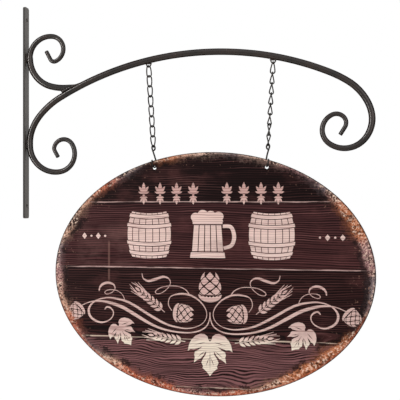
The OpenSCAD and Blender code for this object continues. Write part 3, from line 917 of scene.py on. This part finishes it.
# a pen stroke through points, with a width at each
def addStroke(points, widths, flip=1, steps=12):
    line, wide = [], []
    ends = [points[0]] + list(points) + [points[-1]]
    for i in range(len(points) - 1):
        for k in range(steps):
            line.append(curvePoint(*ends[i:i + 4], k / steps))
            wide.append(widths[i] + (widths[i + 1] - widths[i]) * k / steps)
    line.append(points[-1])
    wide.append(widths[-1])
    start, y = len(printPoints), inkY()
    for i, q in enumerate(line):
        a, b = line[max(0, i - 1)], line[min(len(line) - 1, i + 1)]
        dx, dz = b[0] - a[0], b[1] - a[1]
        size = math.hypot(dx, dz) or 1
        for s in (-1, 1):
            printPoints.append((panelX + flip * (q[0] - s * dz / size * wide[i] / 2), y,
                panelZ + q[1] + s * dx / size * wide[i] / 2))
    for i in range(len(line) - 1):
        a = start + 2 * i
        printFaces.append((a + 1, a + 3, a + 2, a) if flip < 0 else (a, a + 2, a + 3, a + 1))


# half sizes in mm, heights of hoops and of courses of staves, and the staves' gaps in parts of the half width
cask = {
    "high": 29.0,
    "waist": 29.0,
    "end": 22.5,
    "sag": 2.6,
    "gap": 0.9,
    "hoops": [(-24.5, -20.5), (-12.5, -8.5), (9.5, 13.5), (21.5, 25.5)],
    "courses": [(-29, -24.5), (-20.5, -12.5), (-8.5, 9.5), (13.5, 21.5), (25.5, 29)],
    "staves": [-0.97, -0.74, -0.46, -0.16, 0.16, 0.46, 0.74, 0.97],
}


# a cask standing up: staves between hoops, narrow gaps between all of them
def addCask(at):
    def caskPoint(u, z):
        halfWidth = cask["end"] + (cask["waist"] - cask["end"]) * (1 - (z / cask["high"]) ** 2)
        return (halfWidth * u, z - cask["sag"] * (1 - u * u))

    def cell(u0, u1, z0, z1):
        low = [caskPoint(u0 + (u1 - u0) * k / 8, z0) for k in range(9)]
        right = [caskPoint(u1, z0 + (z1 - z0) * k / 6) for k in range(1, 6)]
        top = [caskPoint(u1 - (u1 - u0) * k / 8, z1) for k in range(9)]
        left = [caskPoint(u0, z1 - (z1 - z0) * k / 6) for k in range(1, 6)]
        return low + right + top + left

    gap, staves = cask["gap"], cask["staves"]
    sideGap = gap / 2 / cask["waist"]
    for z0, z1 in cask["hoops"]:
        addFilled([placed(cell(-1, 1, z0, z1), at)])
    for z0, z1 in cask["courses"]:
        for a, b in zip(staves[:-1], staves[1:]):
            addFilled([placed(cell(a + sideGap, b - sideGap, z0 + gap, z1 - gap), at)])


# half widths and heights of the glass, and (x, z, radius) of the froth's bubbles
tankard = {
    "ribs": 5,
    "ribGap": 0.03,
    "body": ((20, -21), (17.5, 11)),
    "foot": ((22, -29), (21, -22.4)),
    "rim": ((18.6, 12.4), (18.6, 17)),
    "bubbles": [(-15, 21, 6), (-6, 24, 6.6), (4, 23, 6.4), (13.5, 22, 6.4)],
    "froth": ((19.5, 15.5), (17, 22)),
    "handle": [(19, 10), (29, 9), (33, -2), (30, -13), (20, -17)],
    "handleWidths": [4.2, 4.6, 5.0, 4.6, 4.0],
}


# a ribbed tankard with froth over its rim
def addTankard(at):
    def slab(low, high, u0=-1, u1=1):
        (x0, z0), (x1, z1) = low, high
        return placed([(x0 * u0, z0), (x0 * u1, z0), (x1 * u1, z1), (x1 * u0, z1)], at)

    for k in range(tankard["ribs"]):
        u0, u1 = (-1 + 2 * j / tankard["ribs"] for j in (k, k + 1))
        addFilled([slab(*tankard["body"], u0 + tankard["ribGap"], u1 - tankard["ribGap"])])
    addFilled([slab(*tankard["foot"])])
    addFilled([slab(*tankard["rim"])])
    for x, z, r in tankard["bubbles"]:
        addFilled([placed(oval(r, r * 0.9, x, z), at)])
    addFilled([slab(*tankard["froth"])])
    addStroke([(at[0] + x, at[1] + z) for x, z in tankard["handle"]], tankard["handleWidths"])


# shares of the cone's length, from its stalk to its tip; the bract's outline is in parts of its half size
hopCone = {
    "widest": 0.4,
    "shoulder": 0.42,
    "taper": 0.66,
    "lowestRow": 0.84,
    "rowSpan": 0.74,
    "bract": [(0, 1.1), (0.55, 0.62), (1, 0), (0.55, -0.5), (0, -1), (-0.55, -0.5), (-1, 0), (-0.55, 0.62)],
    "bractSize": (0.8, 0.76),
    # how far up the bracts may reach under the cap, in the middle and at the sides, and slivers that are left out
    "highest": (0.235, 0.28),
    "sliver": (0.03, 0.05),
    "capWidth": 1.04,
    "capHeight": 0.25,
    "frillWidth": 0.9,
    "frillPlace": 0.19,
    "frillBow": 0.05,
    "frillTooth": 0.035,
}


# a hop cone: rows of diamond bracts wrapped round an egg, in a crescent cap
def addHop(at, turn, size, fat, column, row, flip=1):
    def wrapped(u, t):
        past = t - hopCone["widest"]
        reach = hopCone["taper"] if past > 0 else hopCone["shoulder"]
        halfWidth = fat * math.sqrt(max(0.0, 1 - (past / reach) ** 2))
        return (halfWidth * math.sin(math.pi / 2 * max(-1, min(1, u))), -t)

    (bractWidth, bractHeight), (thin, low) = hopCone["bractSize"], hopCone["sliver"]
    middleTop, sideTop = hopCone["highest"]
    for k in range(int(hopCone["rowSpan"] / row) + 1):
        t = hopCone["lowestRow"] - k * row
        for n in range(-3, 4):
            u = (n + 0.5 * (k % 2)) * 2 * column
            if abs(u) > 1:
                continue
            loop = [(u + column * bractWidth * p, t + row * bractHeight * q) for p, q in hopCone["bract"]]
            loop = [wrapped(p, min(0.995, max(middleTop if abs(p) < 0.7 else sideTop, q))) for p, q in loop]
            wide = max(q[0] for q in loop) - min(q[0] for q in loop)
            high = max(q[1] for q in loop) - min(q[1] for q in loop)
            if wide > thin and high > low:
                addFilled([placed(loop, at, turn, size, flip)])
    rise, turns = hopCone["capHeight"], [math.pi * k / 20 for k in range(21)]
    cap = [(fat * hopCone["capWidth"] * math.cos(a), -rise + rise * math.sin(a)) for a in turns]
    frill = []
    for k in range(13):
        out = 1 - k / 6
        frill.append((-fat * hopCone["frillWidth"] * out, -hopCone["frillPlace"] - hopCone["frillBow"] * out ** 2
            + (hopCone["frillTooth"] if k % 2 else 0)))
    addFilled([placed(cap + frill, at, turn, size, flip)])


# places and sizes are shares of the ear's length, widths of strokes in mm
ear = {
    "pairs": 6,
    "beardedPairs": 3,
    "firstPair": 0.1,
    "pairSpan": 0.54,
    "stalkEnd": 0.7,
    "stalkWidths": [1.0, 0.4],
    "halfStalk": 0.8,
    "grain": (0.16, 0.062),
    "grainSplay": 38,
    "endGrain": (0.15, 0.055),
    "endGrainPlace": 0.72,
    "beardFoot": (0.07, 0.115),
    "beardEnd": (0.03, 0.36),
    "beardSpread": 0.05,
    "beardWidths": [1.5, 0.5],
}


# an ear of barley: paired grains up a stalk, the last ones with long beards
def addBarley(base, tip, flip=1):
    dx, dz = tip[0] - base[0], tip[1] - base[1]
    length = math.hypot(dx, dz)
    turn = math.degrees(math.atan2(dz, dx)) - 90
    acrossX, acrossZ = -dz / length * ear["halfStalk"], dx / length * ear["halfStalk"]
    (footX, footZ), (endX, endZ) = ear["beardFoot"], ear["beardEnd"]

    def upStalk(share):
        return (base[0] + dx * share, base[1] + dz * share)

    addStroke([base, upStalk(ear["stalkEnd"])], ear["stalkWidths"], flip)
    for k in range(ear["pairs"]):
        spot = upStalk(ear["firstPair"] + ear["pairSpan"] * k / (ear["pairs"] - 1))
        long, wide = ear["grain"]
        grain = blade(length * long, length * wide * (1 - 0.03 * k), 0.42)
        for s in (-1, 1):
            side = (spot[0] + s * acrossX, spot[1] + s * acrossZ)
            addFilled([placed(grain, side, turn + s * (ear["grainSplay"] - 2 * k), 1, flip)])
            if k >= ear["pairs"] - ear["beardedPairs"]:
                spread = ear["beardSpread"] * (ear["pairs"] - 1 - k)
                beard = [(s * length * footX, length * footZ), (s * length * (endX + spread), length * (endZ + spread))]
                addStroke(placed(beard, spot, turn), ear["beardWidths"], flip)
    long, wide = ear["endGrain"]
    addFilled([placed(blade(length * long, length * wide), upStalk(ear["endGrainPlace"]), turn, 1, flip)])


# one side's outline from the stalk to the tip, and one side's veins, for a leaf 1 long
leaf = {
    "side": [(0.0, 0.05), (0.05, 0.0), (0.07, -0.09), (0.16, -0.16), (0.27, -0.17), (0.42, -0.11), (0.54, 0.01),
        (0.61, 0.14), (0.65, 0.34), (0.56, 0.28), (0.47, 0.29), (0.36, 0.25), (0.22, 0.2), (0.33, 0.29), (0.44, 0.35),
        (0.46, 0.44), (0.44, 0.5), (0.47, 0.67), (0.36, 0.58), (0.27, 0.54), (0.18, 0.44), (0.11, 0.31), (0.12, 0.42),
        (0.2, 0.54), (0.25, 0.65), (0.2, 0.76), (0.22, 0.81), (0.1, 0.91), (0.0, 1.04)],
    "middleVein": ((0.0, 0.3), (0.0, 0.9)),
    "sideVeins": [((0.03, 0.52), (0.12, 0.76)), ((0.14, 0.32), (0.38, 0.52)), ((0.12, 0.07), (0.48, 0.16))],
    "veinWidth": 1.0,
}


# a vine leaf: five lobes with rounded shoulders and deep narrow bays, veins left open
def addLeaf(at, turn, size, flip=1):
    side = leaf["side"]
    veins = [leaf["middleVein"]]
    veins += [((s * a[0], a[1]), (s * b[0], b[1])) for s in (-1, 1) for a, b in leaf["sideVeins"]]
    loops = [[(-q[0], q[1]) for q in side] + side[-2:0:-1]]
    for (x0, z0), (x1, z1) in veins:
        length = math.hypot(x1 - x0, z1 - z0)
        half = leaf["veinWidth"] / 2 / size
        nx, nz = -(z1 - z0) / length * half, (x1 - x0) / length * half
        x, z = x0 * 0.6 + x1 * 0.4, z0 * 0.6 + z1 * 0.4
        loops.append([(x0, z0), (x + nx, z + nz), (x1, z1), (x - nx, z - nz)])
    addFilled([placed(loop, at, turn, size, flip) for loop in loops])


# petals are (turn, length, width), in degrees and mm
palmette = {
    "petals": [(0, 14, 4.4), (34, 11, 3.4), (-34, 11, 3.4), (72, 7.5, 2.6), (-72, 7.5, 2.6)],
    "foot": 2.0,
    "lowerSize": 0.72,
    "button": 1.5,
}


# a palmette: a tall leaf between bent ones, repeated smaller below
def addPalmette(at, flip=1):
    for way, size in ((0, 1.0), (180, palmette["lowerSize"])):
        for angle, length, width in palmette["petals"]:
            petal = placed(blade(length, width, 0.55), (0, palmette["foot"]), angle)
            addFilled([placed(petal, at, way, size, flip)])
    addFilled([placed(oval(palmette["button"], palmette["button"], count=12), at, flip=flip)])


# places in mm from the panel's middle; all but the casks, the tankard and the middle hop and leaf are mirrored
printed = {
    "casks": [(-77, 49), (76, 49)],
    "tankard": (-3, 49),
    "palmettes": [(21, 97), (42, 97), (63, 97), (84, 97)],
    # (x, radius) along one line
    "dotsZ": 46,
    "dots": [(134, 1.4), (152, 1.4)],
    "diamonds": [(143, 4.0), (161, 4.0)],
    # points and widths of the strokes: a ribbon from a fork in the middle out to the end hop, one that rings
    # the side hop and ends in a big loop, and two tendrils
    "strokes": [
        ([(0.2, -47), (0.4, -54), (4, -63.5), (13, -69.8), (26, -72.6), (43, -72), (60, -68.8), (76, -62.6),
            (96, -51.5), (110, -43.8), (124, -38.8), (136, -36.3), (147, -36.3), (155, -37.8), (165, -42)],
            [0.9, 1.0, 1.4, 1.6, 1.6, 1.9, 2.4, 3.2, 4.1, 4.0, 3.6, 2.6, 1.5, 1.1, 0.9]),
        ([(48, -46), (52.4, -38), (49.5, -28.6), (38, -25), (26, -26), (15, -31.6), (7, -40.3), (4, -49), (6.4, -57.4),
            (14, -63.8), (26, -67.2), (38, -66.8), (54, -63.2), (70, -55.6), (86, -46.4), (95, -41), (106, -35.8),
            (118, -32.8), (130, -31.6), (140, -33.2), (148, -36.8), (153.4, -42), (155.6, -48), (153.8, -55),
            (147.6, -60.4), (138.6, -62.8), (129.6, -60.2), (124.2, -54.9), (123.4, -48.8), (127.2, -44.3),
            (131.8, -43.4), (134.6, -46.4)],
            [0.8, 0.9, 1.0, 2.1, 2.3, 1.8, 1.2, 0.8, 0.8, 0.9, 1.2, 1.7, 2.4, 3.0, 3.0, 2.9, 2.7, 2.3, 1.8, 1.4, 1.6,
            2.2, 2.9, 2.8, 2.6, 2.0, 1.4, 1.2, 1.4, 2.0, 2.0, 1.0]),
        ([(26, -25.4), (30.5, -19.8), (39, -16), (50, -15.4), (61, -17.2), (68.6, -22), (67.4, -25.2), (61, -24.2),
            (53.4, -18.4), (49.8, -11.8), (52, -6.4), (59, -4.2), (69, -7.4), (78, -9.6), (84.4, -6.6), (86.2, -0.4)],
            [1.3, 1.1, 0.9, 0.9, 0.9, 1.0, 0.9, 0.8, 0.8, 0.9, 1.4, 2.7, 3.3, 2.8, 1.4, 0.6]),
        ([(108.4, -35.2), (109.8, -30.4), (113.6, -25.2), (120.4, -22), (128, -21.6), (133.2, -23.2), (134.2, -26),
            (130.8, -27), (125, -24.8), (121.2, -20.4), (122.8, -15.2), (129.6, -12.8), (136.4, -14.3), (140.8, -18.6),
            (141.8, -23.4)],
            [0.9, 0.8, 0.8, 0.8, 0.9, 1.0, 1.0, 0.9, 0.9, 1.1, 1.9, 3.0, 3.0, 2.2, 1.1]),
    ],
    # hops: place, turn, length, fatness, and their bracts' columns and rows; ears: base and tip; leaves: place,
    # turn and length
    "middleHop": ((0, -34.6), 180, 38, 0.37, 0.38, 0.165),
    "hops": [((46.6, -47.6), -84, 27, 0.42, 0.32, 0.155), ((164.4, -42), 47, 22, 0.45, 0.32, 0.155)],
    "ears": [((57, -48), (101, -13)), ((31, -83.8), (86, -75))],
    "sideLeaf": ((117, -65.5), 146, 29),
    "middleLeaf": ((0, -80.6), 180, 43),
}


def makePrint():
    addCask(printed["casks"][0])
    addTankard(printed["tankard"])
    addCask(printed["casks"][1])
    for flip in (-1, 1):
        for at in printed["palmettes"]:
            addPalmette(at, flip)
        for (x, r), (x2, r2) in zip(printed["dots"], printed["diamonds"]):
            addFilled([placed(oval(r, r, count=12), (x, printed["dotsZ"]), flip=flip)])
            diamond = [(0, r2), (r2 * 0.8, 0), (0, -r2), (-r2 * 0.8, 0)]
            addFilled([placed(diamond, (x2, printed["dotsZ"]), flip=flip)])
        for points, widths in printed["strokes"]:
            addStroke(points, widths, flip)
        for hop in printed["hops"]:
            addHop(*hop, flip)
        for base, tip in printed["ears"]:
            addBarley(base, tip, flip)
        addLeaf(*printed["sideLeaf"], flip)
    addHop(*printed["middleHop"])
    addLeaf(*printed["middleLeaf"])
    newPiece("panelPrint", printPoints, printFaces, paleInk, "sign_panel", smooth=False)


makePrint()
print("print laid on")
